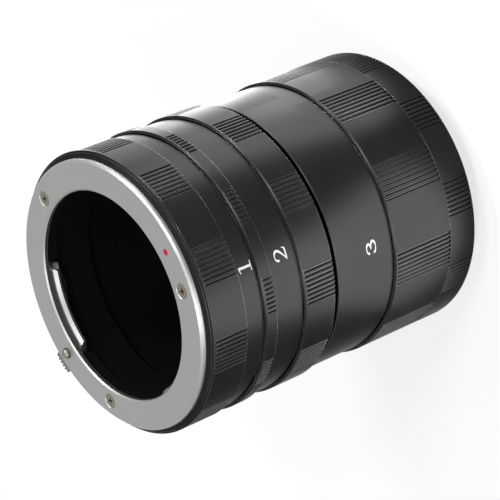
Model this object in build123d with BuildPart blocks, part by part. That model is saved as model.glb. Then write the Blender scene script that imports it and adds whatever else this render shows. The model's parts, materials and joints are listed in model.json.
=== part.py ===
from build123d import *
import os
from math import cos, radians, sin

# Macro extension tube: a lens adapter, three numbered rings and a camera adapter,
# screwed together on one axis. Millimetres, +Z towards the lens. The tube stands
# on the end of its camera bayonet, with the origin on the axis at that end.

# Lengths along the axis, from the camera end up
BARREL_LENGTH = 4.05
SEAT_PROUD = 0.8
CAMERA_ADAPTER_LENGTH = 6.85
RING_3_LENGTH = 31.35
RING_2_LENGTH = 14.8
RING_1_LENGTH = 7.5
LENS_ADAPTER_LENGTH = 9.0
FLANGE_THICKNESS = 1.05

# Radii that the pieces share
KNURL_RADIUS = 29.05
BAND_RADIUS = 28.45
BORE_RADIUS = 24.5
NECK_RADIUS = 26.2
SOCKET_CLEARANCE = 0.05
RUNNING_CLEARANCE = 0.02

# Screwed joints between the pieces
NECK_LENGTH = 2.3
SOCKET_DEPTH = 2.5
COLLAR_RADIUS = 27.2
COLLAR_LENGTH = 1.45

# Knurled bands: groups of grooves with smooth panels between them
KNURL_GROUPS = 10
GROOVES_PER_GROUP = 8
GROOVE_PITCH = 1.9
GROOVE_DEPTH = 0.45
GROOVE_WIDTH = 0.66
RELIEF_RADIUS = 28.15
RELIEF_WIDTH = 0.32
LIP_LENGTH = 0.4
LIP_CHAMFER = 0.25
EDGE_CHAMFER = 0.14
RING_1_KNURL = 2.8
RING_2_KNURL = 7.6
RING_3_KNURL = 15.2
RING_1_PHASE = 4.9
RING_2_PHASE = 1.3
RING_3_PHASE = 28.0
CAMERA_ADAPTER_PHASE = 12.1
LENS_ADAPTER_PHASE = 24.9

# Lens side: flange, claws and index
FLANGE_RADIUS = 27.7
FLANGE_EDGE = 0.4
FLANGE_BORE = 21.5
FLANGE_BORE_CHAMFER = 0.3
RETAINER_BORE = 22.0
RETAINER_LENGTH = 2.7
ADAPTER_BORE = 23.0
RIM_LENGTH = 0.85
RIM_RADIUS = 27.8
CLAW_RADIUS = 20.7
CLAW_ROOT_RADIUS = 23.2
CLAW_DROP = 0.7
CLAW_THICKNESS = 1.1
CLAW_CHAMFER = 0.6
CLAW_CLEARANCE = 0.05
CLAWS = [(95.8, 52.5), (214.5, 50.0), (304.0, 45.0)]
CLAW_END_TAPER = 5.0
INDEX_AZIMUTH = -71.7
INDEX_RADIUS = 0.65
INDEX_DEPTH = 0.3
FLANGE_CIRCLE = 24.4
SCREW_AZIMUTHS = [31.0, 151.0, 269.7]

# Leaf springs behind the claws
LEAF_THICKNESS = 0.25
LEAF_BOW = 0.8
LEAF_HALF_SPAN = 4.1
LEAF_FOOT = 0.7
LEAF_INNER = 20.9
LEAF_OUTER = 22.7
LEAF_OFFSET = 13.45

# Screws
SCREW_HEAD_RADIUS = 1.5
SCREW_SHANK_RADIUS = 0.8
SCREW_LENGTH = 4.6
SCREW_SUNK = 0.12
HOLE_RADIUS = 0.85
HOLE_DEPTH = 5.0
RECESS_LENGTH = 1.3
RECESS_WIDTH = 0.3
RECESS_DEPTH = 0.55

# Lock pin and release lever
LOCK_AZIMUTH = 116.4
LOCK_CIRCLE = 24.85
PIN_RADIUS = 1.05
PIN_HOLE_RADIUS = 1.15
PIN_PROUD = 0.8
PIN_TIP_CHAMFER = 0.35
PIN_COLLAR_RADIUS = 1.22
PIN_TAIL_RADIUS = 0.5
PIN_TAIL_LENGTH = 1.6
PIN_COLLAR_LENGTH = 0.4
SPRING_WELL_RADIUS = 1.32
SPRING_WELL_DEPTH = 6.8
LEVER_GAP = 0.3
LEVER_ARM_THICKNESS = 1.6
LEVER_ARM_WIDTH = 2.6
LEVER_SLOT_WIDTH = 3.0
LEVER_TRAVEL = 1.4
LEVER_SLOT_DEPTH = 3.6
LEVER_PAD_INNER = 29.2
LEVER_PAD_OUTER = 30.9
LEVER_PAD_WIDTH = 4.6
LEVER_PAD_LENGTH = 4.6
LEVER_PAD_CORNER = 0.9
LEVER_RIBS = 5
LEVER_RIB_PITCH = 0.8
LEVER_RIB_WIDTH = 0.4
LEVER_RIB_DEPTH = 0.5
SPRING_RADIUS = 0.85
SPRING_WIRE_RADIUS = 0.17
SPRING_WIRE_SIDES = 6
SPRING_PITCH = 1.5

# Camera side: male bayonet
BARREL_RADIUS = 20.4
THROAT_RADIUS = 18.8
LUG_RADIUS = 21.5
LUG_THICKNESS = 1.1
LUG_GAP = 2.95
LUGS = [(96.0, 43.0), (214.5, 44.0), (304.0, 39.0)]
SEAT_RADIUS = 27.6
SEAT_THICKNESS = 2.0
SEAT_RELIEF_RADIUS = 22.0
SEAT_RELIEF_DEPTH = 0.3
SEAT_CIRCLE = 25.3
SEAT_SCREW_AZIMUTHS = [60.0, 180.0, 300.0]
LOCK_NOTCH_RADIUS = 1.2
CAMERA_ADAPTER_BORE = 23.5
REAR_INDEX_AZIMUTH = 108.3

# Heights worked out from the lengths
CAMERA_SEAT_Z = BARREL_LENGTH
CAMERA_ADAPTER_Z = CAMERA_SEAT_Z + SEAT_PROUD
RING_3_Z = CAMERA_ADAPTER_Z + CAMERA_ADAPTER_LENGTH
RING_2_Z = RING_3_Z + RING_3_LENGTH
RING_1_Z = RING_2_Z + RING_2_LENGTH
LENS_ADAPTER_Z = RING_1_Z + RING_1_LENGTH
FLANGE_Z = LENS_ADAPTER_Z + LENS_ADAPTER_LENGTH
LENS_SEAT_Z = FLANGE_Z + FLANGE_THICKNESS
SOCKET_RADIUS = NECK_RADIUS + SOCKET_CLEARANCE
CLAW_Z = FLANGE_Z - CLAW_DROP - CLAW_THICKNESS
RETAINER_Z = FLANGE_Z - RETAINER_LENGTH
LEVER_TOP_Z = FLANGE_Z - LEVER_GAP
LEVER_ARM_Z = LEVER_TOP_Z - LEVER_ARM_THICKNESS
SPRING_FLOOR_Z = FLANGE_Z - SPRING_WELL_DEPTH
SPRING_TOP_Z = LEVER_ARM_Z - PIN_COLLAR_LENGTH

os.makedirs("parts", exist_ok=True)


def write(part, name):
    """Label a finished piece and write it as a STEP file."""
    part.label = name
    export_step(part, f"parts/{name}.step")


def cross_section(points):
    """Turn a closed outline of (radius, height) points about the axis."""
    with BuildSketch(Plane.XZ) as outline:
        with BuildLine():
            Polyline(*points, close=True)
        make_face()
    revolve(outline.sketch, axis=Axis.Z)


def sector(inner, outer, centre, span, taper=0.0):
    """Draw a ring sector whose two ends slope by the taper angle towards the axis."""
    start = centre - span / 2
    end = centre + span / 2

    def at(radius, angle):
        return (radius * cos(radians(angle)), radius * sin(radians(angle)))

    with BuildLine() as outline:
        inner_arc = ThreePointArc(
            at(inner, start + taper), at(inner, centre), at(inner, end - taper)
        )
        outer_arc = ThreePointArc(at(outer, start), at(outer, centre), at(outer, end))
        Line(inner_arc @ 0, outer_arc @ 0)
        Line(inner_arc @ 1, outer_arc @ 1)
    make_face(outline.edges())


def knurl(bottom, length, phase):
    """Cut the groups of straight V grooves into a band of the solid being built."""
    half_group = GROOVE_PITCH * (GROOVES_PER_GROUP - 1) / 2
    spread = GROOVE_PITCH * GROOVES_PER_GROUP
    with BuildSketch(Plane.XY.offset(bottom)) as grooves:
        for group in range(KNURL_GROUPS):
            first = phase + group * 360 / KNURL_GROUPS - half_group
            with PolarLocations(
                KNURL_RADIUS, GROOVES_PER_GROUP, start_angle=first, angular_range=spread
            ):
                Polygon(
                    (-GROOVE_DEPTH, 0),
                    (GROOVE_DEPTH, -GROOVE_WIDTH),
                    (GROOVE_DEPTH, GROOVE_WIDTH),
                    align=None,
                )
    extrude(grooves.sketch, amount=length, mode=Mode.SUBTRACT)


def band_outline(bottom, knurl_length, top):
    """Outer (radius, height) points of a knurled band with a smooth band above it."""
    knurl_top = bottom + knurl_length
    relief_top = knurl_top + RELIEF_WIDTH
    return [
        (KNURL_RADIUS, bottom),
        (KNURL_RADIUS, knurl_top - LIP_CHAMFER),
        (KNURL_RADIUS - LIP_CHAMFER, knurl_top),
        (RELIEF_RADIUS, knurl_top),
        (RELIEF_RADIUS, relief_top),
        (BAND_RADIUS - EDGE_CHAMFER, relief_top),
        (BAND_RADIUS, relief_top + EDGE_CHAMFER),
        (BAND_RADIUS, top - EDGE_CHAMFER),
        (BAND_RADIUS - EDGE_CHAMFER, top),
    ]


def neck_outline(seat, inner):
    """Inner edge and male neck below a seat, up to the seat's inner corner."""
    end = seat - NECK_LENGTH
    return [
        (inner, end),
        (NECK_RADIUS - 2 * EDGE_CHAMFER, end),
        (NECK_RADIUS, end + 2 * EDGE_CHAMFER),
        (NECK_RADIUS, seat),
    ]


def socket_outline(top, inner):
    """Female socket below a top face, down to the bore."""
    return [
        (SOCKET_RADIUS + EDGE_CHAMFER, top),
        (SOCKET_RADIUS, top - EDGE_CHAMFER),
        (SOCKET_RADIUS, top - SOCKET_DEPTH),
        (inner, top - SOCKET_DEPTH),
    ]


def make_ring(name, bottom, length, knurl_length, phase, collar_length):
    """One extension ring: neck below, knurled band, smooth band, socket above."""
    top = bottom + length
    collar = []
    if collar_length > 0:
        collar = [(COLLAR_RADIUS, top - collar_length), (COLLAR_RADIUS, top)]
    with BuildPart() as ring:
        cross_section(
            neck_outline(bottom, BORE_RADIUS)
            + band_outline(bottom, knurl_length, top - collar_length)
            + collar
            + socket_outline(top, BORE_RADIUS)
        )
        knurl(bottom, knurl_length - LIP_LENGTH, phase)
    write(ring.part, name)


def make_screw(name, seat, azimuth, circle, facing):
    """Countersunk screw under a seat; facing is +1 for a head that looks up."""
    face = seat - facing * SCREW_SUNK
    head_depth = SCREW_HEAD_RADIUS - SCREW_SHANK_RADIUS
    x = circle * cos(radians(azimuth))
    y = circle * sin(radians(azimuth))
    plane = Plane((x, y, face), x_dir=(1, 0, 0), z_dir=(0, 0, facing))
    with BuildPart() as screw:
        with BuildSketch(plane):
            Circle(SCREW_HEAD_RADIUS)
        extrude(amount=-head_depth, taper=45)
        with BuildSketch(plane):
            Circle(SCREW_SHANK_RADIUS)
        extrude(amount=-SCREW_LENGTH)
        with BuildSketch(plane):
            Rectangle(RECESS_LENGTH, RECESS_WIDTH)
            Rectangle(RECESS_WIDTH, RECESS_LENGTH)
        extrude(amount=-RECESS_DEPTH, mode=Mode.SUBTRACT)
    write(screw.part, name)


def countersunk_holes(seat, azimuths, circle, facing, depth):
    """Cut the screw holes and their conical seats from the solid being built."""
    head = SCREW_HEAD_RADIUS + RUNNING_CLEARANCE
    plane = Plane((0, 0, seat), x_dir=(1, 0, 0), z_dir=(0, 0, facing))
    places = [
        (circle * cos(radians(a)), facing * circle * sin(radians(a))) for a in azimuths
    ]
    with BuildSketch(plane) as holes:
        with Locations(*places):
            Circle(HOLE_RADIUS)
    extrude(holes.sketch, amount=-depth, mode=Mode.SUBTRACT)
    with BuildSketch(plane) as seats:
        with Locations(*places):
            Circle(head + SCREW_SUNK)
    extrude(
        seats.sketch,
        amount=-(head + SCREW_SUNK - HOLE_RADIUS),
        taper=45,
        mode=Mode.SUBTRACT,
    )


def radial_plane(azimuth, height):
    """Horizontal plane whose X direction points outwards at an azimuth."""
    direction = (cos(radians(azimuth)), sin(radians(azimuth)), 0)
    return Plane((0, 0, height), x_dir=direction, z_dir=(0, 0, 1))


# Camera adapter housing: knurled ring that takes ring 3 in its socket
with BuildPart() as camera_adapter_housing:
    cross_section(
        [
            (CAMERA_ADAPTER_BORE, CAMERA_SEAT_Z + SEAT_THICKNESS),
            (SEAT_RADIUS + SOCKET_CLEARANCE, CAMERA_SEAT_Z + SEAT_THICKNESS),
            (SEAT_RADIUS + SOCKET_CLEARANCE, CAMERA_ADAPTER_Z),
            (KNURL_RADIUS - LIP_CHAMFER, CAMERA_ADAPTER_Z),
            (KNURL_RADIUS, CAMERA_ADAPTER_Z + LIP_CHAMFER),
            (KNURL_RADIUS, RING_3_Z),
        ]
        + socket_outline(RING_3_Z, CAMERA_ADAPTER_BORE)
    )
    knurl(
        CAMERA_ADAPTER_Z + LIP_LENGTH,
        CAMERA_ADAPTER_LENGTH - LIP_LENGTH,
        CAMERA_ADAPTER_PHASE,
    )
    with BuildSketch(Plane.XY.offset(CAMERA_SEAT_Z + SEAT_THICKNESS)):
        with Locations(
            *[
                (SEAT_CIRCLE * cos(radians(a)), SEAT_CIRCLE * sin(radians(a)))
                for a in SEAT_SCREW_AZIMUTHS
            ]
        ):
            Circle(HOLE_RADIUS)
    extrude(amount=HOLE_DEPTH - SEAT_THICKNESS - SCREW_SUNK, mode=Mode.SUBTRACT)
    with BuildSketch(
        Plane(
            (0, 0, CAMERA_ADAPTER_Z + CAMERA_ADAPTER_LENGTH / 2),
            x_dir=(0, 0, 1),
            z_dir=(
                cos(radians(REAR_INDEX_AZIMUTH)),
                sin(radians(REAR_INDEX_AZIMUTH)),
                0,
            ),
        ).offset(KNURL_RADIUS - INDEX_DEPTH)
    ):
        Circle(INDEX_RADIUS)
    extrude(amount=2 * INDEX_DEPTH, mode=Mode.SUBTRACT)
write(camera_adapter_housing.part, "camera_adapter_housing")

# Index dot of the camera side, a drop of paint in a shallow hole in the knurled ring
with BuildPart() as rear_index_dot:
    with BuildSketch(
        Plane(
            (0, 0, CAMERA_ADAPTER_Z + CAMERA_ADAPTER_LENGTH / 2),
            x_dir=(0, 0, 1),
            z_dir=(
                cos(radians(REAR_INDEX_AZIMUTH)),
                sin(radians(REAR_INDEX_AZIMUTH)),
                0,
            ),
        ).offset(KNURL_RADIUS - INDEX_DEPTH)
    ):
        Circle(INDEX_RADIUS - RUNNING_CLEARANCE)
    extrude(amount=INDEX_DEPTH - RUNNING_CLEARANCE)
write(rear_index_dot.part, "rear_index_dot")

# Camera bayonet: seat plate and barrel with three lugs, turned as one piece
with BuildPart() as camera_bayonet:
    cross_section(
        [
            (THROAT_RADIUS, 0),
            (BARREL_RADIUS - EDGE_CHAMFER, 0),
            (BARREL_RADIUS, EDGE_CHAMFER),
            (BARREL_RADIUS, CAMERA_SEAT_Z + SEAT_RELIEF_DEPTH),
            (SEAT_RELIEF_RADIUS, CAMERA_SEAT_Z + SEAT_RELIEF_DEPTH),
            (SEAT_RELIEF_RADIUS, CAMERA_SEAT_Z),
            (SEAT_RADIUS - EDGE_CHAMFER, CAMERA_SEAT_Z),
            (SEAT_RADIUS, CAMERA_SEAT_Z + EDGE_CHAMFER),
            (SEAT_RADIUS, CAMERA_SEAT_Z + SEAT_THICKNESS),
            (THROAT_RADIUS, CAMERA_SEAT_Z + SEAT_THICKNESS),
        ]
    )
    for lug_centre, lug_span in LUGS:
        with BuildSketch(Plane.XY.offset(CAMERA_SEAT_Z - LUG_GAP - LUG_THICKNESS)):
            sector(BARREL_RADIUS - LUG_THICKNESS, LUG_RADIUS, lug_centre, lug_span)
        extrude(amount=LUG_THICKNESS)
    countersunk_holes(CAMERA_SEAT_Z, SEAT_SCREW_AZIMUTHS, SEAT_CIRCLE, -1, SEAT_THICKNESS)
    with BuildSketch(radial_plane(LOCK_AZIMUTH, CAMERA_SEAT_Z)):
        with Locations((LOCK_CIRCLE, 0)):
            Circle(LOCK_NOTCH_RADIUS)
    extrude(amount=SEAT_THICKNESS, mode=Mode.SUBTRACT)
write(camera_bayonet.part, "camera_bayonet")

for number, azimuth in enumerate(SEAT_SCREW_AZIMUTHS, start=1):
    make_screw(f"bayonet_screw_{number}", CAMERA_SEAT_Z, azimuth, SEAT_CIRCLE, -1)

# The three extension rings, longest at the camera end
make_ring("ring_3", RING_3_Z, RING_3_LENGTH, RING_3_KNURL, RING_3_PHASE, COLLAR_LENGTH)
make_ring("ring_2", RING_2_Z, RING_2_LENGTH, RING_2_KNURL, RING_2_PHASE, 0)
make_ring("ring_1", RING_1_Z, RING_1_LENGTH, RING_1_KNURL, RING_1_PHASE, 0)

# Lens adapter housing: knurled ring with a sloping rim, a lip that clears the lens
# lugs, pockets for the claws, the spring well and the lever's slot
with BuildPart() as lens_adapter_housing:
    cross_section(
        neck_outline(LENS_ADAPTER_Z, ADAPTER_BORE)
        + [
            (KNURL_RADIUS, LENS_ADAPTER_Z),
            (KNURL_RADIUS, FLANGE_Z - RIM_LENGTH),
            (RIM_RADIUS, FLANGE_Z),
            (RETAINER_BORE, FLANGE_Z),
            (RETAINER_BORE, RETAINER_Z),
            (ADAPTER_BORE, RETAINER_Z),
        ]
    )
    knurl(
        LENS_ADAPTER_Z,
        LENS_ADAPTER_LENGTH - RIM_LENGTH - LIP_LENGTH,
        LENS_ADAPTER_PHASE,
    )
    for claw_centre, claw_span in CLAWS:
        with BuildSketch(Plane.XY.offset(RETAINER_Z)):
            sector(
                CLAW_RADIUS,
                CLAW_ROOT_RADIUS + CLAW_CLEARANCE,
                claw_centre,
                claw_span + 1,
            )
        extrude(amount=RETAINER_LENGTH, mode=Mode.SUBTRACT)
    with BuildSketch(Plane.XY.offset(FLANGE_Z)):
        with Locations(
            *[
                (FLANGE_CIRCLE * cos(radians(a)), FLANGE_CIRCLE * sin(radians(a)))
                for a in SCREW_AZIMUTHS
            ]
        ):
            Circle(HOLE_RADIUS)
    extrude(amount=-(HOLE_DEPTH - FLANGE_THICKNESS), mode=Mode.SUBTRACT)
    with BuildSketch(radial_plane(LOCK_AZIMUTH, FLANGE_Z)):
        with Locations((LOCK_CIRCLE, 0)):
            Circle(SPRING_WELL_RADIUS)
    extrude(amount=-SPRING_WELL_DEPTH, mode=Mode.SUBTRACT)
    with BuildSketch(radial_plane(LOCK_AZIMUTH, FLANGE_Z)):
        with Locations((LOCK_CIRCLE, 0)):
            Rectangle(
                LEVER_PAD_OUTER - LOCK_CIRCLE,
                LEVER_SLOT_WIDTH,
                align=(Align.MIN, Align.CENTER),
            )
    extrude(amount=-LEVER_SLOT_DEPTH, mode=Mode.SUBTRACT)
write(lens_adapter_housing.part, "lens_adapter_housing")

# Lens flange: flat seat ring with three bevelled claws hanging under it, one piece
with BuildPart() as lens_flange:
    cross_section(
        [
            (FLANGE_BORE, FLANGE_Z),
            (FLANGE_RADIUS, FLANGE_Z),
            (FLANGE_RADIUS, LENS_SEAT_Z - FLANGE_EDGE),
            (FLANGE_RADIUS - FLANGE_EDGE, LENS_SEAT_Z),
            (FLANGE_BORE + FLANGE_BORE_CHAMFER, LENS_SEAT_Z),
            (FLANGE_BORE, LENS_SEAT_Z - FLANGE_BORE_CHAMFER),
        ]
    )
    for claw_centre, claw_span in CLAWS:
        with BuildSketch(Plane.XY.offset(CLAW_Z)):
            sector(
                CLAW_RADIUS, CLAW_ROOT_RADIUS, claw_centre, claw_span, CLAW_END_TAPER
            )
        extrude(amount=CLAW_THICKNESS)
        with BuildSketch(Plane.XY.offset(CLAW_Z)):
            sector(
                FLANGE_BORE, CLAW_ROOT_RADIUS, claw_centre, claw_span, CLAW_END_TAPER
            )
        extrude(amount=CLAW_DROP + CLAW_THICKNESS)
    with BuildSketch(Plane.XZ) as claw_bevel:
        with BuildLine():
            Polyline(
                (CLAW_RADIUS - 1, CLAW_Z + CLAW_THICKNESS),
                (CLAW_RADIUS + CLAW_CHAMFER, CLAW_Z + CLAW_THICKNESS),
                (CLAW_RADIUS - 1, CLAW_Z + CLAW_THICKNESS - CLAW_CHAMFER - 1),
                close=True,
            )
        make_face()
    revolve(claw_bevel.sketch, axis=Axis.Z, mode=Mode.SUBTRACT)
    countersunk_holes(LENS_SEAT_Z, SCREW_AZIMUTHS, FLANGE_CIRCLE, 1, FLANGE_THICKNESS)
    with BuildSketch(radial_plane(LOCK_AZIMUTH, LENS_SEAT_Z)):
        with Locations((LOCK_CIRCLE, 0)):
            Circle(PIN_HOLE_RADIUS)
    extrude(amount=-(FLANGE_THICKNESS + CLAW_THICKNESS), mode=Mode.SUBTRACT)
    with BuildSketch(radial_plane(INDEX_AZIMUTH, LENS_SEAT_Z)):
        with Locations((FLANGE_CIRCLE, 0)):
            Circle(INDEX_RADIUS)
    extrude(amount=-INDEX_DEPTH, mode=Mode.SUBTRACT)
write(lens_flange.part, "lens_flange")

# Index dot of the lens side, set level with the flange
with BuildPart() as index_dot:
    with BuildSketch(radial_plane(INDEX_AZIMUTH, LENS_SEAT_Z - INDEX_DEPTH)):
        with Locations((FLANGE_CIRCLE, 0)):
            Circle(INDEX_RADIUS - RUNNING_CLEARANCE)
    extrude(amount=INDEX_DEPTH - RUNNING_CLEARANCE)
write(index_dot.part, "index_dot")

for number, azimuth in enumerate(SCREW_AZIMUTHS, start=1):
    make_screw(f"flange_screw_{number}", LENS_SEAT_Z, azimuth, FLANGE_CIRCLE, 1)


def make_leaf_spring(name, azimuth):
    """Bowed strip under a claw: flat feet on the claw, the bow away from it."""
    direction = (cos(radians(azimuth)), sin(radians(azimuth)), 0)
    side = Plane((0, 0, CLAW_Z), x_dir=(-direction[1], direction[0], 0), z_dir=direction)
    half = LEAF_HALF_SPAN
    foot = half + LEAF_FOOT
    with BuildPart() as leaf:
        with BuildSketch(side.offset(LEAF_INNER - LEAF_FOOT)):
            with BuildLine():
                upper = [
                    Line((-foot, 0), (-half, 0)),
                    Spline(
                        (-half, 0),
                        (0, -LEAF_BOW),
                        (half, 0),
                        tangents=[(1, -0.02), (1, 0.02)],
                    ),
                    Line((half, 0), (foot, 0)),
                ]
                Line((foot, 0), (foot, -LEAF_THICKNESS))
                Line((foot, -LEAF_THICKNESS), (half, -LEAF_THICKNESS))
                Spline(
                    (half, -LEAF_THICKNESS),
                    (0, -LEAF_BOW - LEAF_THICKNESS),
                    (-half, -LEAF_THICKNESS),
                    tangents=[(-1, -0.02), (-1, 0.02)],
                )
                Line((-half, -LEAF_THICKNESS), (-foot, -LEAF_THICKNESS))
                Line((-foot, -LEAF_THICKNESS), (-foot, 0))
            make_face()
        extrude(amount=LEAF_OUTER - LEAF_INNER + 2 * LEAF_FOOT)
        with BuildSketch(Plane.XY.offset(CLAW_Z)):
            Circle(LEAF_OUTER)
            Circle(LEAF_INNER, mode=Mode.SUBTRACT)
        extrude(amount=-2 * LEAF_BOW, mode=Mode.INTERSECT)
    write(leaf.part, name)


for number, (claw_centre, claw_span) in enumerate(CLAWS, start=1):
    make_leaf_spring(f"leaf_spring_{number}", claw_centre - claw_span / 2 + LEAF_OFFSET)

# Lock pin: rounded tip through the flange, collar under the lever's arm, spring guide
with BuildPart() as lock_pin:
    for pin_section, pin_bottom, pin_top in (
        (PIN_TAIL_RADIUS, SPRING_TOP_Z - PIN_TAIL_LENGTH, SPRING_TOP_Z),
        (PIN_COLLAR_RADIUS, SPRING_TOP_Z, LEVER_ARM_Z),
        (PIN_RADIUS, LEVER_ARM_Z, LENS_SEAT_Z + PIN_PROUD),
    ):
        with BuildSketch(radial_plane(LOCK_AZIMUTH, pin_bottom)):
            with Locations((LOCK_CIRCLE, 0)):
                Circle(pin_section)
        extrude(amount=pin_top - pin_bottom)
    chamfer(lock_pin.edges().group_by(Axis.Z)[-1], length=PIN_TIP_CHAMFER)
write(lock_pin.part, "lock_pin")

# Release lever: arm round the pin, ribbed thumb pad outside the knurled ring
with BuildPart() as release_lever:
    with BuildSketch(radial_plane(LOCK_AZIMUTH, LEVER_ARM_Z)):
        with Locations((LOCK_CIRCLE, 0)):
            Rectangle(
                LEVER_PAD_INNER - LOCK_CIRCLE,
                LEVER_ARM_WIDTH,
                align=(Align.MIN, Align.CENTER),
            )
            Circle(LEVER_ARM_WIDTH / 2)
    extrude(amount=LEVER_ARM_THICKNESS)
    with BuildSketch(radial_plane(LOCK_AZIMUTH, LEVER_TOP_Z - LEVER_PAD_LENGTH)):
        Circle(LEVER_PAD_OUTER)
        Circle(LEVER_PAD_INNER, mode=Mode.SUBTRACT)
        with Locations((LEVER_PAD_OUTER, 0)):
            Rectangle(2 * LEVER_PAD_WIDTH, LEVER_PAD_WIDTH, mode=Mode.INTERSECT)
    extrude(amount=LEVER_PAD_LENGTH)
    fillet(
        release_lever.edges()
        .filter_by(Axis.Z)
        .sort_by(SortBy.LENGTH)[-4:]
        .sort_by(lambda edge: edge.center().X ** 2 + edge.center().Y ** 2)[-2:],
        radius=LEVER_PAD_CORNER,
    )
    with BuildSketch(radial_plane(LOCK_AZIMUTH, LEVER_ARM_Z)):
        with Locations((LOCK_CIRCLE, 0)):
            Circle(PIN_RADIUS + RUNNING_CLEARANCE)
    extrude(amount=LEVER_ARM_THICKNESS, mode=Mode.SUBTRACT)
    with BuildSketch(radial_plane(LOCK_AZIMUTH, LEVER_TOP_Z - LEVER_PAD_LENGTH)):
        rib_places = [
            (LEVER_PAD_OUTER, (rib - (LEVER_RIBS - 1) / 2) * LEVER_RIB_PITCH)
            for rib in range(LEVER_RIBS)
        ]
        with Locations(*rib_places):
            Rectangle(2 * LEVER_RIB_DEPTH, LEVER_RIB_WIDTH)
    extrude(amount=LEVER_PAD_LENGTH, mode=Mode.SUBTRACT)
write(release_lever.part, "release_lever")

# Lock spring: coil between the floor of its well and the pin's collar
with BuildPart() as lock_spring:
    spring_height = SPRING_TOP_Z - SPRING_FLOOR_Z - 2 * SPRING_WIRE_RADIUS
    with BuildLine():
        coil = Helix(
            pitch=SPRING_PITCH,
            height=spring_height,
            radius=SPRING_RADIUS,
            center=(
                LOCK_CIRCLE * cos(radians(LOCK_AZIMUTH)),
                LOCK_CIRCLE * sin(radians(LOCK_AZIMUTH)),
                SPRING_FLOOR_Z + SPRING_WIRE_RADIUS,
            ),
        )
    with BuildSketch(Plane(coil @ 0, z_dir=coil % 0)):
        RegularPolygon(SPRING_WIRE_RADIUS, SPRING_WIRE_SIDES)
    sweep(path=coil)
write(lock_spring.part, "lock_spring")
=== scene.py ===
import json
import math

import bmesh
import bpy
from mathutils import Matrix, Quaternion, Vector


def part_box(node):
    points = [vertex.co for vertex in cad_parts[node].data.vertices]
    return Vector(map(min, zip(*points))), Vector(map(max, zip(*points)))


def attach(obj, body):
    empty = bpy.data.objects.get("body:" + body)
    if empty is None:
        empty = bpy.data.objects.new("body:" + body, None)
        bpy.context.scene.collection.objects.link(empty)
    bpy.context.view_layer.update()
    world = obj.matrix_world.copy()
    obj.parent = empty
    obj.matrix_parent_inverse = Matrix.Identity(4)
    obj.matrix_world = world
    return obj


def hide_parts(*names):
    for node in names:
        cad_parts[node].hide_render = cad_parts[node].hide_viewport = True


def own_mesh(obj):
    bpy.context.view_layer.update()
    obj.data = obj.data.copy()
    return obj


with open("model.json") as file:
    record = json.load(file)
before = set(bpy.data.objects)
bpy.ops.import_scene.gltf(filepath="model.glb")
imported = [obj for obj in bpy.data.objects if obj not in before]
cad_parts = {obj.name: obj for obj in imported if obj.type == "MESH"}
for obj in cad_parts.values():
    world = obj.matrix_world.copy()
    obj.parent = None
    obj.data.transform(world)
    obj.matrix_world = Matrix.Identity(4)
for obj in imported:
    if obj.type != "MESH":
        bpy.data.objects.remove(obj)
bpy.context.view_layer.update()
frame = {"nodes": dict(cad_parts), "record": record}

MM = 0.001

# Camera, as the photograph's perspective gives it
CAMERA_POSITION = (0.0712364, -0.4209816, 0.3371465)
CAMERA_TURN = (0.552998, 0.222886, 0.406493, -0.692300)
CAMERA_LENS = 186.068
CAMERA_SENSOR = 36.0
CAMERA_CLIP = (0.01, 20)

# Black anodised tones outside and in the bore, their gloss, and the tint of grazing reflections
BLACK_TONES = ((0.0165, 0.0164, 0.0164, 1), (0.0215, 0.0213, 0.0211, 1))
BORE_TONE = (0.013, 0.0122, 0.0112, 1)
BLACK_ROUGHNESS = (0.29, 0.35)
BORE_ROUGHENS = 0.45
GRAZING_TINT = (0.5, 0.5, 0.5, 1)

# Worn edges, lighter as bare metal and as painted highlight lines: the bare colour, which also
# paints highlights on groove bottoms, the rounding, and the cosines between which an edge fades
# out
WEAR_AND_HIGHLIGHT_COLOUR = (0.45, 0.446, 0.435, 1)
EDGE_RADIUS = 0.08 * MM
EDGE_SAMPLES = 6
EDGE_COSINES = (0.9, 0.97)

# Share of the wear and painted highlight on upright ridges, the leans between which it grows,
# and share of painted highlight on groove bottoms
RIDGE_WEAR_AND_HIGHLIGHT = 0.22
RIDGE_LEANS = (0.1, 0.35)
GROOVE_HIGHLIGHT = 0.16

# The wear and painted highlights are patchy: their range, and the range of the noise that gives
# it
PATCHY_WEAR_AND_HIGHLIGHT = (0.45, 1.0)
PATCHY_NOISE = (0.35, 0.65)

# Distances from the axis between which one look of the black parts gives way to the next
BORE_EDGE = (24.9 * MM, 25.1 * MM)
THREAD_INNER = (25.9 * MM, 26.0 * MM)
THREAD_OUTER = (26.4 * MM, 26.5 * MM)
GROOVE_BOTTOM = (28.56 * MM, 28.6 * MM)
GROOVE_FLAT = (28.66 * MM, 28.7 * MM)

# Relief in the shading
THREAD_PITCH = 0.75 * MM
THREAD_DEPTH = 0.12 * MM
GRAIN_SHARE = 0.02
METAL_RELIEF = 0.02 * MM
PAINT_RELIEF = 0.03 * MM

# Painted numerals: their band, the steps between two points, and the layers of paint
BAND_RADIUS = 28.45 * MM
CURVE_STEPS = 6
PAINT_LAYER = 0.004 * MM
FIRST_LAYER = 5

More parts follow.
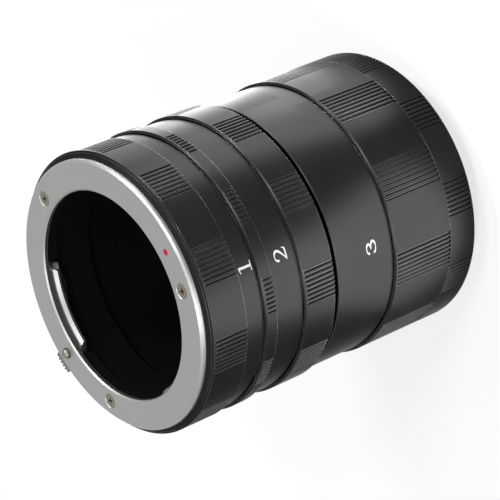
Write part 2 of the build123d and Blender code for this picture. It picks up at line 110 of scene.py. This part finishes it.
# Numerals as strokes: across, up and width at each point, in millimetres
NUMERALS = {
    1: [
        [(0.0, 0.1, 0.2), (2.0, 0.1, 0.2)],
        [(1.0, 0.15, 0.9), (1.0, 0.4, 0.5), (1.0, 1.6, 0.48), (1.0, 3.1, 0.5)],
        [(0.8, 2.99, 0.22), (0.4, 2.86, 0.2), (0.0, 2.7, 0.12)],
    ],
    2: [
        [
            (0.27, 1.95, 0.1),
            (0.28, 2.12, 0.48),
            (0.34, 2.48, 0.36),
            (0.8, 2.86, 0.24),
            (1.35, 2.92, 0.24),
            (1.98, 2.66, 0.42),
            (2.2, 2.16, 0.5),
            (1.92, 1.6, 0.42),
            (1.1, 0.84, 0.28),
            (0.14, 0.14, 0.2),
        ],
        [(0.0, 0.15, 0.16), (0.4, 0.16, 0.32), (1.9, 0.17, 0.34), (2.34, 0.24, 0.3)],
        [(2.3, 0.2, 0.3), (2.46, 0.5, 0.2), (2.56, 0.86, 0.08)],
    ],
    3: [
        [
            (0.44, 1.66, 0.12),
            (0.45, 1.88, 0.48),
            (0.76, 2.26, 0.28),
            (1.38, 2.42, 0.18),
            (2.09, 2.28, 0.36),
            (2.38, 1.9, 0.46),
            (2.09, 1.52, 0.34),
            (1.2, 1.3, 0.14),
        ],
        [
            (1.2, 1.3, 0.14),
            (2.18, 1.22, 0.32),
            (2.73, 0.8, 0.5),
            (2.41, 0.26, 0.4),
            (1.56, 0.08, 0.18),
            (0.79, 0.2, 0.26),
            (0.42, 0.5, 0.48),
            (0.4, 0.72, 0.12),
        ],
    ],
}

# Numeral, the body it rides on, its azimuth, and the height of its foot in millimetres
NUMERAL_PLACES = [
    (1, "extension_ring_1", -89.5, 61.43),
    (2, "extension_ring_2", -90.4, 52.8),
    (3, "extension_ring_3", -102.5, 31.2),
]

# Lock spring: mean radius, wire radius, pitch, steps in one turn and sides round the wire
COIL_RADIUS = 0.85 * MM
COIL_WIRE = 0.165 * MM
COIL_PITCH = 1.5 * MM
COIL_STEPS = 28
COIL_SIDES = 10

# The world's light on the object, and the white that the camera sees in its place
WORLD_LIGHT = 0.45
WORLD_WHITE = 1.0

# The floor: its size and colour, and for the camera its own white and its share of shadow
FLOOR_SIZE = 6
FLOOR_COLOUR = (0.8, 0.8, 0.8, 1)
FLOOR_WHITE = 0.7
FLOOR_SHADE = 0.32

# Soft panels: name, azimuth, distance, height, aimed height (none: face up), size, watts
LAMPS = [
    ("right", 2, 0.62, 0.56, 0.05, (0.20, 0.09), 2.7),
    ("front", -48, 0.54, 0.66, 0.05, (0.20, 0.09), 2.1),
    ("left", -124, 0.54, 0.66, 0.05, (0.26, 0.09), 2.0),
    ("low_back_right", 52, 0.122, 0.002, None, (0.125, 0.080), 0.24),
    ("low_right", 24, 0.114, 0.002, None, (0.15, 0.064), 0.29),
    ("low_front", -11, 0.112, 0.002, None, (0.15, 0.060), 0.17),
    ("low_front_left", -119, 0.112, 0.002, None, (0.15, 0.084), 0.20),
]


def make_camera():
    """The camera stands where the photograph was taken from, rolled as it was."""
    data = bpy.data.cameras.new("camera")
    data.lens = CAMERA_LENS
    data.sensor_width = CAMERA_SENSOR
    data.clip_start, data.clip_end = CAMERA_CLIP
    camera = bpy.data.objects.new("camera", data)
    bpy.context.collection.objects.link(camera)
    camera.rotation_mode = "QUATERNION"
    camera.location = CAMERA_POSITION
    camera.rotation_quaternion = Quaternion(CAMERA_TURN)
    bpy.context.scene.camera = camera


class Shader:
    """Short calls for building one node material."""

    def __init__(self, name):
        self.material = bpy.data.materials.new(name)
        self.material.use_nodes = True
        self.tree = self.material.node_tree
        self.tree.nodes.clear()
        self.output = self.node("ShaderNodeOutputMaterial")
        self.surface = self.node("ShaderNodeBsdfPrincipled")
        self.link(self.surface.outputs["BSDF"], self.output.inputs["Surface"])
        self.coords = self.node("ShaderNodeTexCoord").outputs["Object"]

    def node(self, kind, **values):
        """Add a node and set its properties."""
        made = self.tree.nodes.new(kind)
        for key, value in values.items():
            setattr(made, key, value)
        return made

    def link(self, source, target):
        """Link an output to an input."""
        self.tree.links.new(source, target)

    def set(self, **values):
        """Set the surface's own sockets."""
        for key, value in values.items():
            self.surface.inputs[key.replace("_", " ")].default_value = value

    def noise(self, scale, detail, rough, stretch=None):
        """Noise over the object, stretched along an axis where asked."""
        made = self.node("ShaderNodeTexNoise")
        made.inputs["Scale"].default_value = scale
        made.inputs["Detail"].default_value = detail
        made.inputs["Roughness"].default_value = rough
        if stretch:
            mapping = self.node("ShaderNodeMapping")
            mapping.inputs["Scale"].default_value = stretch
            self.link(self.coords, mapping.inputs["Vector"])
            self.link(mapping.outputs["Vector"], made.inputs["Vector"])
        else:
            self.link(self.coords, made.inputs["Vector"])
        return made.outputs["Fac"]

    def spread(self, value, low, high, from_low=0.0, from_high=1.0):
        """Map a value's range onto another range, held at both ends."""
        made = self.node("ShaderNodeMapRange")
        made.inputs["From Min"].default_value = from_low
        made.inputs["From Max"].default_value = from_high
        made.inputs["To Min"].default_value = low
        made.inputs["To Max"].default_value = high
        self.link(value, made.inputs["Value"])
        return made.outputs["Result"]

    def maths(self, operation, first, second=None):
        """A sum of one or two values, each a number or an output."""
        made = self.node("ShaderNodeMath", operation=operation)
        for socket, value in zip(made.inputs, (first, second)):
            if value is None:
                continue
            if isinstance(value, (int, float)):
                socket.default_value = value
            else:
                self.link(value, socket)
        return made.outputs["Value"]

    def mix(self, factor, first, second):
        """Blend two colours by a factor."""
        made = self.node("ShaderNodeMix", data_type="RGBA")
        self.link(factor, made.inputs["Factor"])
        colours = [s for s in made.inputs if s.type == "RGBA"]
        for socket, value in zip(colours, (first, second)):
            if isinstance(value, tuple):
                socket.default_value = value
            else:
                self.link(value, socket)
        return [s for s in made.outputs if s.type == "RGBA"][0]

    def parts(self, vector):
        """The X, Y and Z of a vector."""
        made = self.node("ShaderNodeSeparateXYZ")
        self.link(vector, made.inputs["Vector"])
        return made.outputs

    def bevel(self):
        """Normals over edges that are broken by a small radius, and where those edges are."""
        made = self.node("ShaderNodeBevel", samples=EDGE_SAMPLES)
        made.inputs["Radius"].default_value = EDGE_RADIUS
        flat = self.node("ShaderNodeNewGeometry").outputs["Normal"]
        cosine = self.node("ShaderNodeVectorMath", operation="DOT_PRODUCT")
        self.link(made.outputs["Normal"], cosine.inputs[0])
        self.link(flat, cosine.inputs[1])
        edges = self.spread(cosine.outputs["Value"], 1.0, 0.0, *EDGE_COSINES)
        return made.outputs["Normal"], edges

    def bump(self, height, strength, distance, normal=None):
        """Fine relief, over another node's normals where given."""
        made = self.node("ShaderNodeBump")
        if normal:
            self.link(normal, made.inputs["Normal"])
        made.inputs["Strength"].default_value = strength
        made.inputs["Distance"].default_value = distance
        self.link(height, made.inputs["Height"])
        self.link(made.outputs["Normal"], self.surface.inputs["Normal"])

    def outward(self):
        """Direction straight out from the tube's axis."""
        across = self.node("ShaderNodeVectorMath", operation="MULTIPLY")
        self.link(self.coords, across.inputs[0])
        across.inputs[1].default_value = (1, 1, 0)
        unit = self.node("ShaderNodeVectorMath", operation="NORMALIZE")
        self.link(across.outputs["Vector"], unit.inputs[0])
        return unit.outputs["Vector"]

    def turn(self, factor, first, second):
        """Turn one direction towards another by a factor."""
        away = self.node("ShaderNodeVectorMath", operation="SUBTRACT")
        self.link(second, away.inputs[0])
        self.link(first, away.inputs[1])
        part = self.node("ShaderNodeVectorMath", operation="SCALE")
        self.link(away.outputs["Vector"], part.inputs[0])
        self.link(factor, part.inputs["Scale"])
        total = self.node("ShaderNodeVectorMath", operation="ADD")
        self.link(first, total.inputs[0])
        self.link(part.outputs["Vector"], total.inputs[1])
        return total.outputs["Vector"]

    def radius(self):
        """Distance from the tube's axis."""
        place = self.parts(self.coords)
        x, y = place["X"], place["Y"]
        total = self.maths("ADD", self.maths("MULTIPLY", x, x), self.maths("MULTIPLY", y, y))
        return self.maths("SQRT", total)

    def finish(self, factor, colour, roughness, dark, smoother, rougher):
        """Colour and roughness that vary a little with a factor."""
        low = tuple(c * dark for c in colour) + (1,)
        self.link(self.mix(factor, low, colour + (1,)), self.surface.inputs["Base Color"])
        varied = self.spread(factor, roughness - smoother, roughness + rougher)
        self.link(varied, self.surface.inputs["Roughness"])


def black_wear_and_highlight(shader, radius, cloud):
    """Normals with broken edges and narrow groove flats, and how far edges are bared by wear
    and lightened as painted highlights, with painted highlights on groove flats.
    """
    normal, edges = shader.bevel()
    deep = shader.spread(radius, 0.0, 1.0, *GROOVE_BOTTOM)
    shallow = shader.spread(radius, 1.0, 0.0, *GROOVE_FLAT)
    groove = shader.maths("MULTIPLY", deep, shallow)
    normal = shader.turn(groove, normal, shader.outward())
    lean = shader.maths("ABSOLUTE", shader.parts(normal)["Z"])
    edges = shader.maths("MULTIPLY", edges, shader.spread(lean, RIDGE_WEAR_AND_HIGHLIGHT, 1.0, *RIDGE_LEANS))
    # Groove bottoms get a lighter colour as painted highlight, besides the lighter worn edges.
    bare_and_highlight = shader.maths("MAXIMUM", edges, shader.maths("MULTIPLY", groove, GROOVE_HIGHLIGHT))
    patches = shader.spread(cloud, *PATCHY_WEAR_AND_HIGHLIGHT, *PATCHY_NOISE)
    return normal, shader.maths("MULTIPLY", bare_and_highlight, patches)


def black_anodised():
    """Black anodised aluminium: worn edges lightened also as painted highlights, painted
    highlights on groove flats, a dull bore, thread where parts screw together.
    """
    shader = Shader("black_anodised")
    radius = shader.radius()
    inside = shader.spread(radius, 1.0, 0.0, *BORE_EDGE)
    grain = shader.noise(scale=5200, detail=2.0, rough=0.6)
    cloud = shader.noise(scale=90, detail=3.0, rough=0.6)
    normal, worn_and_highlight = black_wear_and_highlight(shader, radius, cloud)
    # The bare colour is worn metal on edges and painted highlight on edges and groove bottoms.
    outer = shader.mix(worn_and_highlight, shader.mix(cloud, *BLACK_TONES), WEAR_AND_HIGHLIGHT_COLOUR)
    shader.link(shader.mix(inside, outer, BORE_TONE), shader.surface.inputs["Base Color"])
    roughness = shader.maths(
        "ADD",
        shader.spread(cloud, *BLACK_ROUGHNESS),
        shader.maths("MULTIPLY", inside, BORE_ROUGHENS),
    )
    shader.link(roughness, shader.surface.inputs["Roughness"])
    shader.set(Metallic=1.0, Specular_Tint=GRAZING_TINT)
    level = shader.parts(shader.coords)["Z"]
    waves = shader.maths("SINE", shader.maths("MULTIPLY", level, 2 * math.pi / THREAD_PITCH))
    inner = shader.spread(radius, 0.0, 1.0, *THREAD_INNER)
    outside = shader.spread(radius, 1.0, 0.0, *THREAD_OUTER)
    thread = shader.maths("MULTIPLY", waves, shader.maths("MULTIPLY", inner, outside))
    relief = shader.maths("ADD", thread, shader.maths("MULTIPLY", grain, GRAIN_SHARE))
    shader.bump(relief, strength=0.6, distance=THREAD_DEPTH, normal=normal)
    return shader.material


def satin_metal(name, colour, roughness):
    """Turned metal with fine rings round the axis and a faint cloudiness."""
    shader = Shader(name)
    rings = shader.node("ShaderNodeTexNoise", noise_dimensions="1D")
    rings.inputs["Scale"].default_value = 9000
    rings.inputs["Detail"].default_value = 2
    shader.link(shader.radius(), rings.inputs["W"])
    cloud = shader.noise(scale=120, detail=4.0, rough=0.6)
    shader.finish(cloud, colour, roughness, dark=0.93, smoother=0.04, rougher=0.05)
    shader.set(Metallic=1.0)
    shader.bump(rings.outputs["Fac"], strength=0.12, distance=METAL_RELIEF)
    return shader.material


def steel(name, colour, roughness):
    """Polished steel with faint scratches."""
    shader = Shader(name)
    scratch = shader.noise(scale=3000, detail=2.0, rough=0.5, stretch=(1.0, 0.15, 1.0))
    shader.finish(scratch, colour, roughness, dark=0.85, smoother=0.05, rougher=0.08)
    shader.set(Metallic=1.0)
    shader.bump(scratch, strength=0.1, distance=METAL_RELIEF)
    return shader.material


def paint(name, colour, roughness):
    """Paint with a slight unevenness in tone and gloss."""
    shader = Shader(name)
    cloud = shader.noise(scale=1800, detail=3.0, rough=0.6)
    shader.finish(cloud, colour, roughness, dark=0.8, smoother=0.06, rougher=0.06)
    shader.set(Specular_IOR_Level=0.2)
    shader.bump(cloud, strength=0.15, distance=PAINT_RELIEF)
    return shader.material


MATERIALS = {
    "black_anodised": black_anodised(),
    "satin_metal": satin_metal("satin_metal", (0.35, 0.35, 0.348), 0.42),
    "screw_steel": steel("screw_steel", (0.22, 0.21, 0.165), 0.36),
    "spring_steel": steel("spring_steel", (0.4, 0.4, 0.41), 0.3),
    "lever_metal": satin_metal("lever_metal", (0.17, 0.17, 0.165), 0.34),
    "index_red": paint("index_red", (0.44, 0.006, 0.03), 0.5),
}
NUMERAL_PAINT = paint("numeral_paint", (0.62, 0.62, 0.61), 0.55)


def dress_nodes():
    """Every CAD node gets the material of its slot in the record."""
    slots = {s["node"]: s["material_slot"] for s in frame["record"]["subparts"]}
    for name, node in frame["nodes"].items():
        node.data.materials.clear()
        node.data.materials.append(MATERIALS[slots[name]])


def make_piece(name, shape, material):
    """An object from a finished bmesh, with its material."""
    mesh = bpy.data.meshes.new(name)
    shape.to_mesh(mesh)
    shape.free()
    mesh.materials.append(material)
    piece = bpy.data.objects.new(name, mesh)
    bpy.context.collection.objects.link(piece)
    return piece


def smooth(points):
    """Points along a smooth curve through the given ones."""
    padded = [points[0]] + points + [points[-1]]
    curve = []
    for group in zip(padded, padded[1:], padded[2:], padded[3:]):
        for step in range(CURVE_STEPS):
            t = step / CURVE_STEPS
            curve.append(
                tuple(
                    b
                    + 0.5 * t * (c - a)
                    + 0.5 * t * t * (2 * a - 5 * b + 4 * c - d)
                    + 0.5 * t**3 * (3 * b - a - 3 * c + d)
                    for a, b, c, d in zip(*group)
                )
            )
    return curve + [points[-1]]


def make_numeral(digit, body, azimuth, low):
    """A painted numeral on a smooth band, bent round it, upright with the lens up."""
    strokes = NUMERALS[digit]
    middle = max(point[0] for stroke in strokes for point in stroke) / 2
    shape = bmesh.new()
    for layer, stroke in enumerate(strokes, start=FIRST_LAYER):
        radius = BAND_RADIUS + layer * PAINT_LAYER
        path = smooth(stroke)
        edge = []
        for number, (across, up, width) in enumerate(path):
            before = path[max(number - 1, 0)]
            after = path[min(number + 1, len(path) - 1)]
            run = Vector((after[0] - before[0], after[1] - before[1])).normalized()
            pair = []
            for side in (width / 2, -width / 2):
                angle = math.radians(azimuth)
                angle += (across - run.y * side - middle) * MM / BAND_RADIUS
                height = (low + up + run.x * side) * MM
                pair.append(
                    shape.verts.new(
                        (radius * math.cos(angle), radius * math.sin(angle), height)
                    )
                )
            edge.append(pair)
        for (a, b), (c, d) in zip(edge, edge[1:]):
            shape.faces.new((a, b, d, c))
    piece = make_piece(f"numeral_{digit}", shape, NUMERAL_PAINT)
    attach(piece, body)


def make_lock_coil(body):
    """The lock's spring in round wire."""
    low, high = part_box("lock_spring")
    middle = (low + high) / 2
    rise = high.z - low.z - 2 * COIL_WIRE
    count = round(rise / COIL_PITCH * COIL_STEPS)
    shape = bmesh.new()
    rings = []
    for number in range(count + 1):
        turn = 2 * math.pi * number / COIL_STEPS
        level = low.z + COIL_WIRE + rise * number / count
        ring = []
        for side in range(COIL_SIDES):
            round_wire = 2 * math.pi * side / COIL_SIDES
            reach = COIL_RADIUS + COIL_WIRE * math.cos(round_wire)
            ring.append(
                shape.verts.new(
                    (
                        middle.x + reach * math.cos(turn),
                        middle.y + reach * math.sin(turn),
                        level + COIL_WIRE * math.sin(round_wire),
                    )
                )
            )
        rings.append(ring)
    for first, second in zip(rings, rings[1:]):
        for side in range(COIL_SIDES):
            after = (side + 1) % COIL_SIDES
            shape.faces.new((first[side], first[after], second[after], second[side]))
    shape.faces.new(rings[0])
    shape.faces.new(rings[-1])
    bmesh.ops.recalc_face_normals(shape, faces=shape.faces)
    piece = make_piece("lock_coil", shape, MATERIALS["spring_steel"])
    for face in piece.data.polygons:
        face.use_smooth = True
    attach(piece, body)
    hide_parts("lock_spring")
    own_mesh(piece)


def is_seen(tree):
    """1 for rays from the camera, in gloss and through glass, which see the background."""
    path = tree.nodes.new("ShaderNodeLightPath")
    total = path.outputs["Is Camera Ray"]
    for ray in ("Is Glossy Ray", "Is Transmission Ray"):
        either = tree.nodes.new("ShaderNodeMath")
        either.operation = "MAXIMUM"
        tree.links.new(total, either.inputs[0])
        tree.links.new(path.outputs[ray], either.inputs[1])
        total = either.outputs["Value"]
    return total


def show_background(tree, plain, seen, output):
    """One shader lights the object, and the other is the background that is seen."""
    choice = tree.nodes.new("ShaderNodeMixShader")
    tree.links.new(is_seen(tree), choice.inputs[0])
    tree.links.new(plain.outputs[0], choice.inputs[1])
    tree.links.new(seen.outputs[0], choice.inputs[2])
    tree.links.new(choice.outputs[0], output.inputs["Surface"])


def make_floor():
    """Pale floor that is seen as white and keeps the object's shadow."""
    bpy.ops.mesh.primitive_plane_add(size=FLOOR_SIZE, location=(0, 0, 0))
    floor = bpy.context.object
    floor.name = "floor"
    material = bpy.data.materials.new("floor")
    material.use_nodes = True
    tree = material.node_tree
    tree.nodes.clear()
    plain = tree.nodes.new("ShaderNodeBsdfDiffuse")
    plain.inputs["Color"].default_value = FLOOR_COLOUR
    shaded = tree.nodes.new("ShaderNodeBsdfDiffuse")
    shaded.inputs["Color"].default_value = (FLOOR_SHADE, FLOOR_SHADE, FLOOR_SHADE, 1)
    white = tree.nodes.new("ShaderNodeEmission")
    white.inputs["Strength"].default_value = FLOOR_WHITE
    both = tree.nodes.new("ShaderNodeAddShader")
    tree.links.new(shaded.outputs[0], both.inputs[0])
    tree.links.new(white.outputs[0], both.inputs[1])
    show_background(tree, plain, both, tree.nodes.new("ShaderNodeOutputMaterial"))
    floor.data.materials.append(material)


def make_world():
    """Plain grey light, seen as white."""
    world = bpy.data.worlds.new("world")
    bpy.context.scene.world = world
    world.use_nodes = True
    tree = world.node_tree
    tree.nodes.clear()
    plain = tree.nodes.new("ShaderNodeBackground")
    plain.inputs["Strength"].default_value = WORLD_LIGHT
    white = tree.nodes.new("ShaderNodeBackground")
    white.inputs["Strength"].default_value = WORLD_WHITE
    for node in (plain, white):
        node.inputs["Color"].default_value = (1, 1, 1, 1)
    show_background(tree, plain, white, tree.nodes.new("ShaderNodeOutputWorld"))


def make_panel(name, azimuth, distance, height, aim, size, power):
    """Soft light panel at an azimuth and distance from the tube's axis.

    It is aimed at a height on the axis, or lies face up where aim is None.
    """
    data = bpy.data.lights.new(name, "AREA")
    data.shape = "RECTANGLE"
    data.size, data.size_y = size
    data.energy = power
    light = bpy.data.objects.new(name, data)
    bpy.context.collection.objects.link(light)
    angle = math.radians(azimuth)
    place = Vector((distance * math.cos(angle), distance * math.sin(angle), height))
    light.location = place
    light.rotation_mode = "QUATERNION"
    if aim is None:
        turn = Quaternion((0, 0, 1), angle) @ Quaternion((1, 0, 0), math.pi)
    else:
        turn = (Vector((0, 0, aim)) - place).to_track_quat("-Z", "Y")
    light.rotation_quaternion = turn
    light.visible_camera = False


make_camera()
dress_nodes()
for place in NUMERAL_PLACES:
    make_numeral(*place)
make_lock_coil("lens_adapter")
make_floor()
make_world()
for lamp in LAMPS:
    make_panel(*lamp)

bpy.context.scene.view_settings.view_transform = "Standard"
